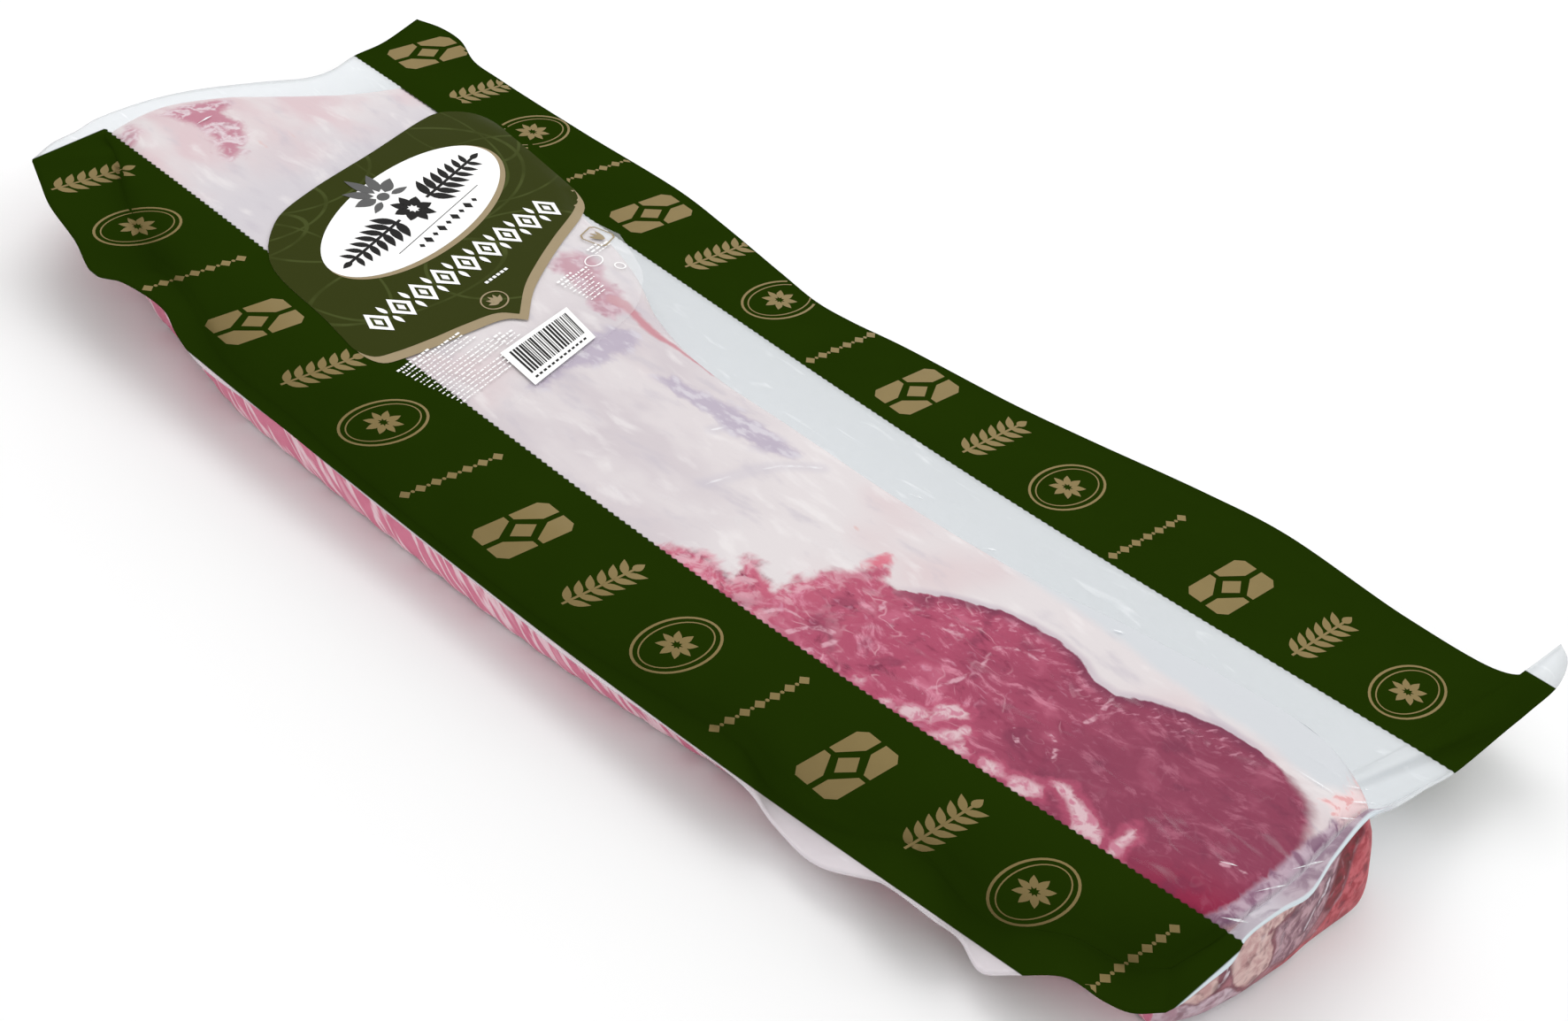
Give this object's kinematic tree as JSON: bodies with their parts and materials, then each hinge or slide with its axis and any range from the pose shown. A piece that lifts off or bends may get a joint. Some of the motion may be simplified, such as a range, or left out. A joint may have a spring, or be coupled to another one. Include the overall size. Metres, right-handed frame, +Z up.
{
  "type": "vacuum-packed whole pork loin",
  "caption": "Whole raw pork loin sealed in a flat bag of clear film with dark green printed bands and a shield label.",
  "frame": {"origin": "on the table under the middle of the whole pack's outline in plan", "axes": "+X along the pack from the label end to the cut end of the loin, +Y across it from the near long side to the wide empty far side, +Z up"},
  "size_m": [0.557, 0.2542, 0.0491],
  "materials": {
    "film": "clear glossy film tight over pale fat and pink-red raw pork, with dark green printed bands along both long sides",
    "label_sheet": "satin printed film label, olive shield above a clear panel"
  },
  "bodies": {
    "root": {"bag": "film", "label": "label_sheet"}
  },
  "joints": []
}
